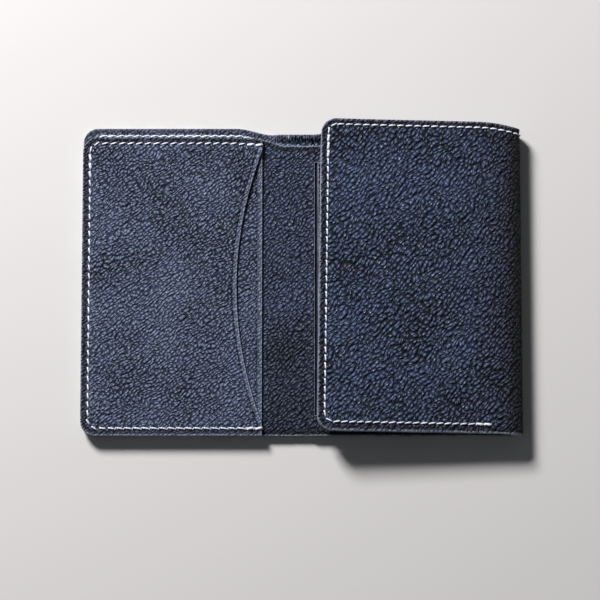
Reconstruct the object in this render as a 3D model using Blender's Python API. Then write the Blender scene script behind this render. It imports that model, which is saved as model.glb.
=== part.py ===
"""Trifold wallet in pebbled leather, lying half open on its outside.

The cover is one strip of leather that folds twice.  The left panel lies open and flat, and
the right flap is folded over the middle panel.  Card pockets and an inner panel are sewn on
the inside of the cover, and the bill compartment is the space between them and the lining.

+X runs from the left panel's free edge to the right fold, +Y towards the mouth of the bill
compartment and +Z is up.  The origin is on the resting face, under the middle of the wallet.

Flat distances, written u, run along the opened cover from the left panel's free edge.
Levels are heights over the cover's inner face, which is also where each crease turns.
"""

import math

import bmesh
import bpy

MM = 0.001

# Driving dimensions of the cover.
WALLET_HEIGHT = 105.0 * MM
LEFT_PANEL_WIDTH = 61.9 * MM
MIDDLE_PANEL_WIDTH = 69.5 * MM
FLAP_SETBACK = 2.5 * MM        # from the flap's free edge to the middle panel's left crease
FLAP_SLOPE = math.radians(2.5)  # the closed flap rises towards its free edge
CORNER_RADIUS = 5.0 * MM
FOLD_SCOOP = 2.0 * MM          # how far the top edge dips at each fold
SCOOP_RUN = 13.0 * MM          # length of the curve into and out of a dip

# Thickness of each layer.
COVER_THICKNESS = 1.1 * MM
LINING_THICKNESS = 0.3 * MM
INNER_PANEL_THICKNESS = 0.6 * MM
POCKET_THICKNESS = 0.6 * MM
BAG_THICKNESS = 0.3 * MM
THREAD_DIAMETER = 0.4 * MM

# Clearances.
LAYER_GAP = 0.3 * MM
CREASE_GAP = 0.3 * MM          # between two cover pieces that meet at a crease
FLAP_CLEARANCE = 0.5 * MM      # between the closed flap and the middle panel
CLOSING_CLEARANCE = 0.4 * MM   # between the closed left panel and the flap

# The inner layers stop short of the cover's top edge and show a strip of the lining.
INNER_TOP_DROP = 3.5 * MM

# Card pockets.
POCKET_SETBACK = 1.2 * MM      # from a pocket's mouth to the crease beside it
NOTCH_DEPTH = 8.6 * MM         # the front pocket's curved mouth
NOTCH_END_MARGIN = 4.0 * MM    # straight edge left above and below the curve
FLAP_POCKET_SETBACK = 14.0 * MM

# Slip pocket behind the slit in the middle panel.
SLIT_WIDTH = 1.0 * MM
SLIT_SETBACK = 1.9 * MM        # from the crease to the middle of the slit
SLIT_TOP_MARGIN = 10.5 * MM
SLIT_BOTTOM_MARGIN = 6.5 * MM
BAG_SETBACK = 0.7 * MM
BAG_WIDTH = 59.0 * MM
BAG_END_MARGIN = 1.5 * MM

# Seams.
SIDE_SEAM_INSET = 2.1 * MM
BOTTOM_SEAM_INSET = 2.8 * MM
TOP_SEAM_INSET = 2.7 * MM      # cover's top seam, which shows on the strip of lining
POCKET_SEAM_INSET = 2.2 * MM   # from the top edge of the inner layers
SEAM_CORNER_RADIUS = 3.0 * MM
SEAM_END_SETBACK = 0.7 * MM
FOLD_SEAM_SETBACK = 2.0 * MM   # a fold's own stitches stay clear of the turning creases
FLAP_SEAM_STOP = 9.0 * MM      # the flap's bottom seam ends before the fold

# Mesh fineness.
CORNER_STEPS = 5
SCOOP_STEPS = 6
NOTCH_STEPS = 12
SLIT_END_STEPS = 5

# Levels of the layers, from the cover's inner face up.
LINING_LEVEL = LAYER_GAP
INNER_PANEL_LEVEL = LINING_LEVEL + LINING_THICKNESS + LAYER_GAP
BAG_LEVEL = INNER_PANEL_LEVEL
SLIP_PANEL_LEVEL = BAG_LEVEL + BAG_THICKNESS + LAYER_GAP
BACK_POCKET_LEVEL = INNER_PANEL_LEVEL + INNER_PANEL_THICKNESS + LAYER_GAP
FRONT_POCKET_LEVEL = BACK_POCKET_LEVEL + POCKET_THICKNESS + LAYER_GAP
THREAD_RISE = LAYER_GAP + THREAD_DIAMETER

LEFT_STACK = FRONT_POCKET_LEVEL + POCKET_THICKNESS + THREAD_RISE
MIDDLE_STACK = SLIP_PANEL_LEVEL + INNER_PANEL_THICKNESS + THREAD_RISE
FLAP_STACK = BACK_POCKET_LEVEL + POCKET_THICKNESS + THREAD_RISE

# The folds are as wide as the layers that they close over.
FLAP_WIDTH = (MIDDLE_PANEL_WIDTH - FLAP_SETBACK) / math.cos(FLAP_SLOPE)
RIGHT_FOLD_WIDTH = MIDDLE_STACK + FLAP_STACK + FLAP_CLEARANCE
FLAP_TOP = RIGHT_FOLD_WIDTH + COVER_THICKNESS + FLAP_WIDTH * math.sin(FLAP_SLOPE) + THREAD_RISE
LEFT_FOLD_WIDTH = FLAP_TOP + LEFT_STACK + CLOSING_CLEARANCE

# Flat distances of the creases and the flap's free edge.
LEFT_CREASE = LEFT_PANEL_WIDTH
MIDDLE_CREASE = LEFT_CREASE + LEFT_FOLD_WIDTH
RIGHT_CREASE = MIDDLE_CREASE + MIDDLE_PANEL_WIDTH
FLAP_CREASE = RIGHT_CREASE + RIGHT_FOLD_WIDTH
FLAP_END = FLAP_CREASE + FLAP_WIDTH
HALF_OPEN_WIDTH = RIGHT_CREASE + COVER_THICKNESS

NAVY = (0.022, 0.030, 0.064)
NAVY_LIGHT = (0.032, 0.042, 0.082)
NAVY_CLOTH = (0.012, 0.016, 0.034)
THREAD_WHITE = (0.72, 0.74, 0.80)


def clear_scene():
    for item in list(bpy.data.objects):
        bpy.data.objects.remove(item, do_unlink=True)


def material(name, colour, roughness):
    """A plain Principled material, named for the piece that wears it."""
    finish = bpy.data.materials.new(name + "_finish")
    finish.use_nodes = True
    shader = finish.node_tree.nodes["Principled BSDF"]
    shader.inputs["Base Color"].default_value = (*colour, 1.0)
    shader.inputs["Roughness"].default_value = roughness
    shader.inputs["Metallic"].default_value = 0.0
    finish.diffuse_color = (*colour, 1.0)
    return finish


def crease(name, parent, along, turn):
    """An empty on a crease line.  Its pieces turn about its Y axis."""
    empty = bpy.data.objects.new(name, None)
    bpy.context.collection.objects.link(empty)
    empty.parent = parent
    empty.location = (along, 0.0, 0.0)
    empty.rotation_euler = (0.0, turn, 0.0)
    return empty


def smooth_step(share):
    share = min(max(share, 0.0), 1.0)
    return share * share * (3.0 - 2.0 * share)


def top_edge(u, drop):
    """Height of a sheet's top edge, which dips at both folds."""
    to_left_fold = max(LEFT_CREASE - u, u - MIDDLE_CREASE, 0.0)
    to_right_fold = max(RIGHT_CREASE - u, u - FLAP_CREASE, 0.0)
    away = min(to_left_fold, to_right_fold)
    return WALLET_HEIGHT / 2 - drop - FOLD_SCOOP * smooth_step(1.0 - away / SCOOP_RUN)


def top_points(start, end, drop):
    """Points along a top edge from start to end, close together only where it curves."""
    marks = {start, end}
    runs = (LEFT_CREASE - SCOOP_RUN, MIDDLE_CREASE, RIGHT_CREASE - SCOOP_RUN, FLAP_CREASE)
    for run in runs:
        for step in range(SCOOP_STEPS + 1):
            marks.add(run + SCOOP_RUN * step / SCOOP_STEPS)
    inside = sorted(mark for mark in marks if start <= mark <= end)
    return [(mark, top_edge(mark, drop)) for mark in inside]


def quarter_arc(centre_u, centre_y, radius, first_degree):
    """Points of a quarter turn, counter-clockwise."""
    points = []
    for step in range(CORNER_STEPS + 1):
        angle = math.radians(first_degree + 90.0 * step / CORNER_STEPS)
        points.append((centre_u + radius * math.cos(angle), centre_y + radius * math.sin(angle)))
    return points


def panel_outline(start, end, drop=0.0, round_start=False, round_end=False, mouth=()):
    """Outline of a panel between two flat distances, counter-clockwise.

    Free ends have round corners.  A mouth replaces the straight edge at the far end.
    """
    bottom = -WALLET_HEIGHT / 2
    radius = CORNER_RADIUS
    top_start, top_end = start, end
    points = []
    if round_start:
        points += quarter_arc(start + radius, bottom + radius, radius, 180.0)
        top_start = start + radius
    else:
        points.append((start, bottom))
    if round_end:
        top = top_edge(end - radius, drop)
        points += quarter_arc(end - radius, bottom + radius, radius, 270.0)
        points += quarter_arc(end - radius, top - radius, radius, 0.0)
        points.pop()
        top_end = end - radius
    else:
        points.append((end, bottom))
        points += mouth
    points += reversed(top_points(top_start, top_end, drop))
    if round_start:
        points.pop()
        points += quarter_arc(start + radius, top_edge(start + radius, drop) - radius, radius, 90.0)
    return points


def notched_mouth(edge_u, drop):
    """The front pocket's mouth, a shallow curve cut into its edge, from the bottom up."""
    low = -WALLET_HEIGHT / 2 + NOTCH_END_MARGIN
    high = top_edge(edge_u, drop) - NOTCH_END_MARGIN
    points = []
    for step in range(NOTCH_STEPS + 1):
        place = 2.0 * step / NOTCH_STEPS - 1.0
        depth = NOTCH_DEPTH * (1.0 - place * place)
        points.append((edge_u - depth, (low + high) / 2 + place * (high - low) / 2))
    return points


def slot_outline(centre_u, width, low, high):
    """A long slot with round ends, counter-clockwise."""
    radius = width / 2
    points = []
    for centre_y, first_degree in ((high - radius, 0.0), (low + radius, 180.0)):
        for step in range(SLIT_END_STEPS + 1):
            angle = math.radians(first_degree + 180.0 * step / SLIT_END_STEPS)
            points.append((centre_u + radius * math.cos(angle), centre_y + radius * math.sin(angle)))
    return points


def sheet(name, outline, level, thickness, parent, parent_u, finish):
    """A flat piece of leather or cloth, cut to an outline, lying at a level on its crease."""
    shape = bmesh.new()
    corners = [shape.verts.new((u - parent_u, y, 0.0)) for u, y in outline]
    face = shape.faces.new(corners)
    raised = bmesh.ops.extrude_face_region(shape, geom=[face])["geom"]
    upper = [part for part in raised if isinstance(part, bmesh.types.BMVert)]
    bmesh.ops.translate(shape, verts=upper, vec=(0.0, 0.0, thickness))
    bmesh.ops.recalc_face_normals(shape, faces=shape.faces)
    mesh = bpy.data.meshes.new(name)
    shape.to_mesh(mesh)
    shape.free()
    mesh.materials.append(finish)
    piece = bpy.data.objects.new(name, mesh)
    bpy.context.collection.objects.link(piece)
    piece.parent = parent
    piece.location = (0.0, 0.0, level)
    return piece


def thread(name, path, level, parent, parent_u, finish):
    """A row of stitches as one continuous bead, its middle at a level."""
    curve = bpy.data.curves.new(name, "CURVE")
    curve.dimensions = "3D"
    curve.bevel_depth = THREAD_DIAMETER / 2
    curve.bevel_resolution = 1
    curve.use_fill_caps = True
    spline = curve.splines.new("POLY")
    spline.points.add(len(path) - 1)
    for point, (u, y) in zip(spline.points, path):
        point.co = (u - parent_u, y, 0.0, 1.0)
    curve.materials.append(finish)
    piece = bpy.data.objects.new(name, curve)
    bpy.context.collection.objects.link(piece)
    piece.parent = parent
    piece.location = (0.0, 0.0, level)
    return piece


def bead_level(surface):
    """Level of a bead's middle over a surface that faces up."""
    return surface + LAYER_GAP + THREAD_DIAMETER / 2


def seam_path(free_u, far_u, top_inset, far_bottom_u):
    """Three sides of a panel's seam: along the top, down the free edge, along the bottom."""
    side = 1.0 if far_u > free_u else -1.0
    seam_u = free_u + side * SIDE_SEAM_INSET
    corner_u = seam_u + side * SEAM_CORNER_RADIUS
    bottom = -WALLET_HEIGHT / 2 + BOTTOM_SEAM_INSET
    top = top_edge(corner_u, top_inset)
    along_top = top_points(min(corner_u, far_u), max(corner_u, far_u), top_inset)
    if side > 0:
        along_top.reverse()
    first = 90.0
    upper = quarter_arc(0.0, 0.0, SEAM_CORNER_RADIUS, first)
    lower = quarter_arc(0.0, 0.0, SEAM_CORNER_RADIUS, first + 90.0)
    path = along_top[:-1]
    path += [(corner_u + side * u, top - SEAM_CORNER_RADIUS + y) for u, y in upper]
    path += [(corner_u + side * u, bottom + SEAM_CORNER_RADIUS + y) for u, y in lower]
    path.append((far_bottom_u, bottom))
    return path


clear_scene()

# Crease lines.  The whole wallet hangs from the middle panel, whose frame is on its left crease.
middle_frame = crease("middle_frame", None, MIDDLE_CREASE - HALF_OPEN_WIDTH / 2, 0.0)
middle_frame.location.z = COVER_THICKNESS
left_fold_crease = crease("left_fold_crease", middle_frame, 0.0, 0.0)
left_panel_crease = crease("left_panel_crease", left_fold_crease, -LEFT_FOLD_WIDTH, 0.0)
right_fold_crease = crease("right_fold_crease", middle_frame, MIDDLE_PANEL_WIDTH, -math.pi / 2)
flap_crease = crease("flap_crease", right_fold_crease, RIGHT_FOLD_WIDTH, FLAP_SLOPE - math.pi / 2)

# Each body: its empty and the flat distance of that empty.
LEFT = (left_panel_crease, LEFT_CREASE)
LEFT_FOLD = (left_fold_crease, MIDDLE_CREASE)
MIDDLE = (middle_frame, MIDDLE_CREASE)
RIGHT_FOLD = (right_fold_crease, RIGHT_CREASE)
FLAP = (flap_crease, FLAP_CREASE)
HALF_CREASE = CREASE_GAP / 2


def folded_end(level, thickness):
    """How far a layer stops before a crease that is closed, to clear the layer standing there."""
    return level + thickness + LAYER_GAP


# Cover: one strip of leather, in five pieces that meet at the creases.
cover_cuts = (
    ("cover_left", LEFT, 0.0, LEFT_CREASE - HALF_CREASE, True, False),
    ("cover_left_fold", LEFT_FOLD, LEFT_CREASE + HALF_CREASE, MIDDLE_CREASE - HALF_CREASE, False, False),
    ("cover_middle", MIDDLE, MIDDLE_CREASE + HALF_CREASE, RIGHT_CREASE - HALF_CREASE, False, False),
    ("cover_right_fold", RIGHT_FOLD, RIGHT_CREASE + HALF_CREASE, FLAP_CREASE - HALF_CREASE, False, False),
    ("cover_flap", FLAP, FLAP_CREASE + HALF_CREASE, FLAP_END, False, True),
)
for name, body, start, end, round_start, round_end in cover_cuts:
    outline = panel_outline(start, end, 0.0, round_start, round_end)
    sheet(name, outline, -COVER_THICKNESS, COVER_THICKNESS, *body, material(name, NAVY, 0.55))

# Lining of the bill compartment, as tall as the cover.
lining_stop = folded_end(LINING_LEVEL, LINING_THICKNESS)
lining_cuts = (
    ("bill_lining_left", LEFT, 0.0, LEFT_CREASE - HALF_CREASE, True, False),
    ("bill_lining_left_fold", LEFT_FOLD, LEFT_CREASE + HALF_CREASE, MIDDLE_CREASE - HALF_CREASE,
     False, False),
    ("bill_lining_middle", MIDDLE, MIDDLE_CREASE + HALF_CREASE, RIGHT_CREASE - lining_stop,
     False, False),
    ("bill_lining_right_fold", RIGHT_FOLD, RIGHT_CREASE + LINING_LEVEL, FLAP_CREASE - LINING_LEVEL,
     False, False),
    ("bill_lining_flap", FLAP, FLAP_CREASE + lining_stop, FLAP_END, False, True),
)
for name, body, start, end, round_start, round_end in lining_cuts:
    outline = panel_outline(start, end, 0.0, round_start, round_end)
    sheet(name, outline, LINING_LEVEL, LINING_THICKNESS, *body, material(name, NAVY_LIGHT, 0.6))

# Inner panel: the front wall of the bill compartment.  It runs through both folds.
panel_stop = folded_end(INNER_PANEL_LEVEL, INNER_PANEL_THICKNESS)
slip_stop = folded_end(SLIP_PANEL_LEVEL, INNER_PANEL_THICKNESS)
panel_cuts = (
    ("inner_panel_left", LEFT, INNER_PANEL_LEVEL, 0.0, LEFT_CREASE - HALF_CREASE, True, False),
    ("inner_panel_left_fold", LEFT_FOLD, INNER_PANEL_LEVEL,
     LEFT_CREASE + HALF_CREASE, MIDDLE_CREASE - HALF_CREASE, False, False),
    ("inner_panel_middle", MIDDLE, SLIP_PANEL_LEVEL,
     MIDDLE_CREASE + HALF_CREASE, RIGHT_CREASE - slip_stop, False, False),
    ("inner_panel_right_fold", RIGHT_FOLD, INNER_PANEL_LEVEL,
     RIGHT_CREASE + INNER_PANEL_LEVEL, FLAP_CREASE - INNER_PANEL_LEVEL, False, False),
    ("inner_panel_flap", FLAP, INNER_PANEL_LEVEL, FLAP_CREASE + panel_stop, FLAP_END, False, True),
)
for name, body, level, start, end, round_start, round_end in panel_cuts:
    outline = panel_outline(start, end, INNER_TOP_DROP, round_start, round_end)
    piece = sheet(name, outline, level, INNER_PANEL_THICKNESS, *body, material(name, NAVY_LIGHT, 0.6))
    if name == "inner_panel_middle":
        slit_panel = piece

# Slip pocket: a slit in the middle panel, and a cloth bag behind it.
slit_u = MIDDLE_CREASE + SLIT_SETBACK
slit_low = -WALLET_HEIGHT / 2 + SLIT_BOTTOM_MARGIN
slit_high = WALLET_HEIGHT / 2 - SLIT_TOP_MARGIN
slit_cutter = sheet(
    "slit_cutter", slot_outline(slit_u, SLIT_WIDTH, slit_low, slit_high),
    SLIP_PANEL_LEVEL - LAYER_GAP / 2, INNER_PANEL_THICKNESS + LAYER_GAP, *MIDDLE,
    material("slit_cutter", NAVY, 0.6))
slit_cutter.hide_render = True
slit_cutter.display_type = "WIRE"
slit = slit_panel.modifiers.new("slit", "BOOLEAN")
slit.operation = "DIFFERENCE"
slit.solver = "EXACT"
slit.object = slit_cutter

bag_start = MIDDLE_CREASE + BAG_SETBACK
bag_end = min(bag_start + BAG_WIDTH, RIGHT_CREASE - slip_stop)
bag_outline = [
    (bag_start, slit_low - BAG_END_MARGIN),
    (bag_end, slit_low - BAG_END_MARGIN),
    (bag_end, slit_high + BAG_END_MARGIN),
    (bag_start, slit_high + BAG_END_MARGIN),
]
sheet("slip_pocket_bag", bag_outline, BAG_LEVEL, BAG_THICKNESS, *MIDDLE,
      material("slip_pocket_bag", NAVY_CLOTH, 0.9))

# Card pockets of the left panel.  Both open towards the fold.
pocket_edge = LEFT_CREASE - POCKET_SETBACK
back_outline = panel_outline(0.0, pocket_edge, INNER_TOP_DROP, round_start=True)
sheet("card_pocket_back", back_outline, BACK_POCKET_LEVEL, POCKET_THICKNESS, *LEFT,
      material("card_pocket_back", NAVY, 0.55))
front_outline = panel_outline(0.0, pocket_edge, INNER_TOP_DROP, round_start=True,
                              mouth=notched_mouth(pocket_edge, INNER_TOP_DROP))
sheet("card_pocket_front", front_outline, FRONT_POCKET_LEVEL, POCKET_THICKNESS, *LEFT,
      material("card_pocket_front", NAVY, 0.55))

# Card pocket inside the flap.  It opens towards the fold too.
flap_pocket_start = FLAP_CREASE + FLAP_POCKET_SETBACK
flap_outline = panel_outline(flap_pocket_start, FLAP_END, INNER_TOP_DROP, round_end=True)
sheet("card_pocket_flap", flap_outline, BACK_POCKET_LEVEL, POCKET_THICKNESS, *FLAP,
      material("card_pocket_flap", NAVY, 0.55))

# Pocket seams, over the top layer of each panel.
left_top = FRONT_POCKET_LEVEL + POCKET_THICKNESS
pocket_seam_drop = INNER_TOP_DROP + POCKET_SEAM_INSET
seam_end = pocket_edge - SEAM_END_SETBACK
thread("seam_thread_left", seam_path(0.0, seam_end, pocket_seam_drop, seam_end),
       bead_level(left_top), *LEFT, material("seam_thread_left", THREAD_WHITE, 0.8))

bottom_seam = -WALLET_HEIGHT / 2 + BOTTOM_SEAM_INSET
middle_seam = [
    (MIDDLE_CREASE + FOLD_SEAM_SETBACK, bottom_seam),
    (RIGHT_CREASE - FLAP_SEAM_STOP, bottom_seam),
]
thread("seam_thread_middle", middle_seam, bead_level(SLIP_PANEL_LEVEL + INNER_PANEL_THICKNESS),
       *MIDDLE, material("seam_thread_middle", THREAD_WHITE, 0.8))

flap_inside = BACK_POCKET_LEVEL + POCKET_THICKNESS
flap_stop = FLAP_CREASE + FLAP_SEAM_STOP
pocket_seam_start = flap_pocket_start + SEAM_END_SETBACK
thread("seam_thread_flap_inside",
       seam_path(FLAP_END, pocket_seam_start, pocket_seam_drop, pocket_seam_start),
       bead_level(flap_inside), *FLAP, material("seam_thread_flap_inside", THREAD_WHITE, 0.8))
thread("seam_thread_flap_outside",
       seam_path(FLAP_END, FLAP_CREASE + FOLD_SEAM_SETBACK, TOP_SEAM_INSET, flap_stop),
       -COVER_THICKNESS - LAYER_GAP - THREAD_DIAMETER / 2, *FLAP,
       material("seam_thread_flap_outside", THREAD_WHITE, 0.8))

# Top seam: it joins the lining to the cover along the mouth of the bill compartment.
lining_face = bead_level(LINING_LEVEL + LINING_THICKNESS)
top_seam_cuts = (
    ("top_seam_thread_left", LEFT, CORNER_RADIUS, LEFT_CREASE - SEAM_END_SETBACK),
    ("top_seam_thread_left_fold", LEFT_FOLD, LEFT_CREASE + FOLD_SEAM_SETBACK,
     MIDDLE_CREASE - FOLD_SEAM_SETBACK),
    ("top_seam_thread_middle", MIDDLE, MIDDLE_CREASE + SEAM_END_SETBACK,
     RIGHT_CREASE - FOLD_SEAM_SETBACK),
    ("top_seam_thread_right_fold", RIGHT_FOLD, RIGHT_CREASE + FOLD_SEAM_SETBACK,
     FLAP_CREASE - FOLD_SEAM_SETBACK),
    ("top_seam_thread_flap_inside", FLAP, FLAP_CREASE + FOLD_SEAM_SETBACK, FLAP_END - CORNER_RADIUS),
)
for name, body, start, end in top_seam_cuts:
    thread(name, top_points(start, end, TOP_SEAM_INSET), lining_face, *body,
           material(name, THREAD_WHITE, 0.8))
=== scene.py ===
import math

import bmesh
import bpy
import numpy as np
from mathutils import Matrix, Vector, noise


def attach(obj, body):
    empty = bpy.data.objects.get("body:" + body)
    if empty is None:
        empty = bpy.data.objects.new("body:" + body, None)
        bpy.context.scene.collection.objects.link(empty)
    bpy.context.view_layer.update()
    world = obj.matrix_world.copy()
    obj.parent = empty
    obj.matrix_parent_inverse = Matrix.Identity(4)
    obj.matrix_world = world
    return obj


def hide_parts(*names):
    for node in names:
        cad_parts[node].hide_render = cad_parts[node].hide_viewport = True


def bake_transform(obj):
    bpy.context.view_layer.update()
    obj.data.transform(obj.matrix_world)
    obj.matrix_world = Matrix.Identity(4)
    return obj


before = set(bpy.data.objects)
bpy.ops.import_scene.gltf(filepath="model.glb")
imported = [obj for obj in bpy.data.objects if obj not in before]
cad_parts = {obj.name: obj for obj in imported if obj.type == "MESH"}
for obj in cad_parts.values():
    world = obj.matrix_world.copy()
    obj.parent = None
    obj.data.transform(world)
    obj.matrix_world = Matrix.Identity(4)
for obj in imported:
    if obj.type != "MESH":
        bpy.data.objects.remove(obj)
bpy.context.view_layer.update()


# ---------------------------------------------------------------- studio
# A plain pale table top, one large softbox at the upper left and a weak, even light from the
# room, seen from almost straight above.
def linear(code, alpha=1.0):
    """An sRGB hex colour as linear light."""
    parts = [int(code[i:i + 2], 16) / 255.0 for i in (1, 3, 5)]
    flat = [p / 12.92 if p <= 0.04045 else ((p + 0.055) / 1.055) ** 2.4 for p in parts]
    return (*flat, alpha)


def node(tree, kind, inputs=None, **settings):
    """Adds one shader node with its settings, and gives each input a value or a link."""
    made = tree.nodes.new(kind)
    for key, value in settings.items():
        setattr(made, key, value)
    for key, value in (inputs or {}).items():
        if isinstance(value, bpy.types.NodeSocket):
            tree.links.new(value, made.inputs[key])
        else:
            made.inputs[key].default_value = value
    return made


def new_material(name):
    """An empty material of that name, and its node tree."""
    finish = bpy.data.materials.new(name)
    finish.use_nodes = True
    finish.node_tree.nodes.clear()
    return finish, finish.node_tree


TABLE_SIZE = 4.0
TABLE_COLOUR = "#d9d6d1"
bpy.ops.object.select_all(action="DESELECT")
bpy.ops.mesh.primitive_plane_add(size=TABLE_SIZE, location=(0.0, 0.0, 0.0))
table_top = bpy.context.object
table_top.name = "table_top"
paint, tree = new_material("matt_table_paint")
shader = node(tree, "ShaderNodeBsdfPrincipled", {"Base Color": linear(TABLE_COLOUR), "Roughness": 0.8})
node(tree, "ShaderNodeOutputMaterial", {"Surface": shader.outputs[0]})
table_top.data.materials.append(paint)

ROOM_COLOUR = "#e6ebf5"
ROOM_LIGHT = 0.09
world = bpy.data.worlds.new("studio_air")
bpy.context.scene.world = world
world.use_nodes = True
world.node_tree.nodes.clear()
air = node(world.node_tree, "ShaderNodeBackground", {"Color": linear(ROOM_COLOUR), "Strength": ROOM_LIGHT})
node(world.node_tree, "ShaderNodeOutputWorld", {"Surface": air.outputs[0]})


def softbox(name, place, aim, size, power, colour):
    """A square area light at a place, turned to an aim."""
    lamp = bpy.data.lights.new(name, "AREA")
    lamp.size = size
    lamp.energy = power
    lamp.color = linear(colour)[:3]
    box = bpy.data.objects.new(name, lamp)
    bpy.context.scene.collection.objects.link(box)
    box.location = place
    box.rotation_euler = (Vector(aim) - Vector(place)).to_track_quat("-Z", "Y").to_euler()


KEY_PLACE = (-0.46, 0.70, 0.62)
KEY_SIZE = 0.26
KEY_POWER = 18.5            # watts
softbox("key_softbox", KEY_PLACE, (0.0, 0.0, 0.0), KEY_SIZE, KEY_POWER, "#fbfaff")

CAMERA_PLACE = (-0.0005, -0.159, 1.000)
CAMERA_TILT = math.radians(8.69)
LENS = 179.7                     # mm
SENSOR_WIDTH = 36.0
view = bpy.data.cameras.new("product_camera")
view.sensor_width = SENSOR_WIDTH
view.lens = LENS
view.clip_start = 0.01
product_camera = bpy.data.objects.new("product_camera", view)
bpy.context.scene.collection.objects.link(product_camera)
product_camera.location = CAMERA_PLACE
product_camera.rotation_euler = (CAMERA_TILT, 0.0, 0.0)
bpy.context.scene.camera = product_camera
bpy.context.scene.view_settings.view_transform = "Standard"


# ---------------------------------------------------------------- cover
# One strip of full-grain cowhide, 1.1 mm thick, its pebbled side out.  It is cut in one piece
# with round corners, and runs through both folds; here it is four spans that meet in the flat
# middle of a fold, so that each span holds one crease.
WALLET_HEIGHT = 105.0            # mm, as are the sizes below
HALF_HEIGHT = WALLET_HEIGHT / 2
LEFT_CREASE = 61.9               # distances along the flat strip, from its left end
MIDDLE_CREASE = 77.42526
RIGHT_CREASE = 146.92526
FLAP_CREASE = 153.32526
FLAP_END = 220.3892
HALF_OPEN_WIDTH = 148.02526
LEFT_SPINE = (LEFT_CREASE + MIDDLE_CREASE) / 2
MIDDLE_JOIN = 112.0              # where two spans meet, under the flap
RIGHT_SPINE = (RIGHT_CREASE + FLAP_CREASE) / 2
COVER_THICKNESS = 1.1
CORNER_RADIUS = 5.0
LEFT_SCOOP = 2.3                 # how far the top edge dips at each fold
RIGHT_SCOOP = 0.9
SCOOP_RUN = 13.0
FLAP_SLOPE = math.radians(2.5)
FLAP_TURN = math.radians(0.85)   # the flap lies a little askew on the middle panel
FLAP_TALLER = 0.006              # share by which the soft flap stands taller than the middle
FLAP_SHIFT = 0.45                # and how far up it has slipped
FLAP_CROWN = 0.35                # soft rise along the flap's middle
FLAP_CORNER_LIFT = 0.5           # its top corner stands proud
FOLD_X = RIGHT_CREASE - HALF_OPEN_WIDTH / 2
FOLD_REACH = 4.4                 # length of the soft round turn at the closed fold
FOLD_RISE = (FLAP_CREASE - RIGHT_CREASE) / 2
ARC_X = FOLD_X - FOLD_REACH
SIDE_SEAM_INSET = 2.5
TOP_SEAM_INSET = 2.6
LEFT_BOTTOM_SEAM_INSET = 2.3
BOTTOM_SEAM_INSET = 2.8
FLAP_SEAM_STOP = 9.0
STITCH_LEFT_END = 61.2
OUTER_GROOVE = 0.25              # how deep the outer stitches pull the cover in
FLAP_GROOVE = 0.30
BAND_WIDTH = 1.5                 # flattened band beside a pocket's mouth
MOUTH_RUN = 26.0                 # how far back a curved mouth draws the mesh's columns
EDGE_ROUNDING = 0.00022          # metres of rounding for each mm of thickness


def smooth_step(share):
    """A share from 0 to 1, eased at both ends."""
    share = min(max(share, 0.0), 1.0)
    return share * share * (3.0 - 2.0 * share)


# The turn is half an ellipse on its side.  Equal steps along it are looked up by angle.
turn_angles = np.linspace(0.0, math.pi / 2, 91)
turn_speed = np.hypot(FOLD_REACH * np.cos(turn_angles), FOLD_RISE * np.sin(turn_angles))
turn_run = np.concatenate(([0.0], np.cumsum((turn_speed[1:] + turn_speed[:-1]) / 2)))
turn_run = turn_run / turn_run[-1]


def flap_lift(along, v):
    """How far the flap stands above its flat plane, in mm: a soft crown and a proud top corner."""
    crown = FLAP_CROWN * math.sin(math.pi * min(along / 60.0, 1.0)) * (1.0 - (v / 60.0) ** 2)
    corner = FLAP_CORNER_LIFT * smooth_step((along - 45.0) / 22.0) * smooth_step((v - 22.0) / 30.0)
    return crown + corner


def lay(u, v, level):
    """A place on the flat strip, and its level above the cover's inner face, on the folded wallet."""
    lower_start = RIGHT_CREASE - FOLD_REACH
    upper_end = FLAP_CREASE + FOLD_REACH / math.cos(FLAP_SLOPE)
    if u <= lower_start:
        return Vector((u - HALF_OPEN_WIDTH / 2, v, COVER_THICKNESS + level)) / 1000.0
    if u <= RIGHT_SPINE:
        angle = float(np.interp((u - lower_start) / (RIGHT_SPINE - lower_start), turn_run, turn_angles))
        x = ARC_X + (FOLD_REACH - level) * math.sin(angle)
        z = COVER_THICKNESS + level + (FOLD_RISE - level) * (1.0 - math.cos(angle))
        return Vector((x, v, z)) / 1000.0
    along = u - FLAP_CREASE
    if u < upper_end:
        angle = float(np.interp((upper_end - u) / (upper_end - RIGHT_SPINE), turn_run, turn_angles))
        x = ARC_X + (FOLD_REACH - level) * math.sin(angle) \
            - level * math.sin(FLAP_SLOPE) * math.cos(angle)
        plane = COVER_THICKNESS + 2 * FOLD_RISE + (FOLD_X - x) * math.tan(FLAP_SLOPE)
        z = plane - level - (FOLD_RISE - level) * (1.0 - math.cos(angle))
    else:
        x = FOLD_X - along * math.cos(FLAP_SLOPE) - level * math.sin(FLAP_SLOPE)
        z = COVER_THICKNESS + 2 * FOLD_RISE + along * math.sin(FLAP_SLOPE) - level * math.cos(FLAP_SLOPE)
    z += flap_lift(max(along - FOLD_REACH, 0.0), v)
    turn = FLAP_TURN * smooth_step((u - RIGHT_SPINE) / 20.0)
    v += (FLAP_TALLER * v + FLAP_SHIFT) * smooth_step((u - RIGHT_SPINE) / 12.0)
    across = x - FOLD_X
    x = FOLD_X + across * math.cos(turn) + v * math.sin(turn)
    y = v * math.cos(turn) - across * math.sin(turn)
    return Vector((x, y, z)) / 1000.0


def near_fold(u, first, last):
    """1 in a fold, falling to 0 over a run on either side."""
    return smooth_step(1.0 - max(first - u, u - last, 0.0) / SCOOP_RUN)


def cover_top(u):
    """Height of the cover's top edge, which dips at each fold."""
    return HALF_HEIGHT - LEFT_SCOOP * near_fold(u, LEFT_CREASE + 3.0, MIDDLE_CREASE) \
        - RIGHT_SCOOP * near_fold(u, RIGHT_CREASE, FLAP_CREASE)


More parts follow.
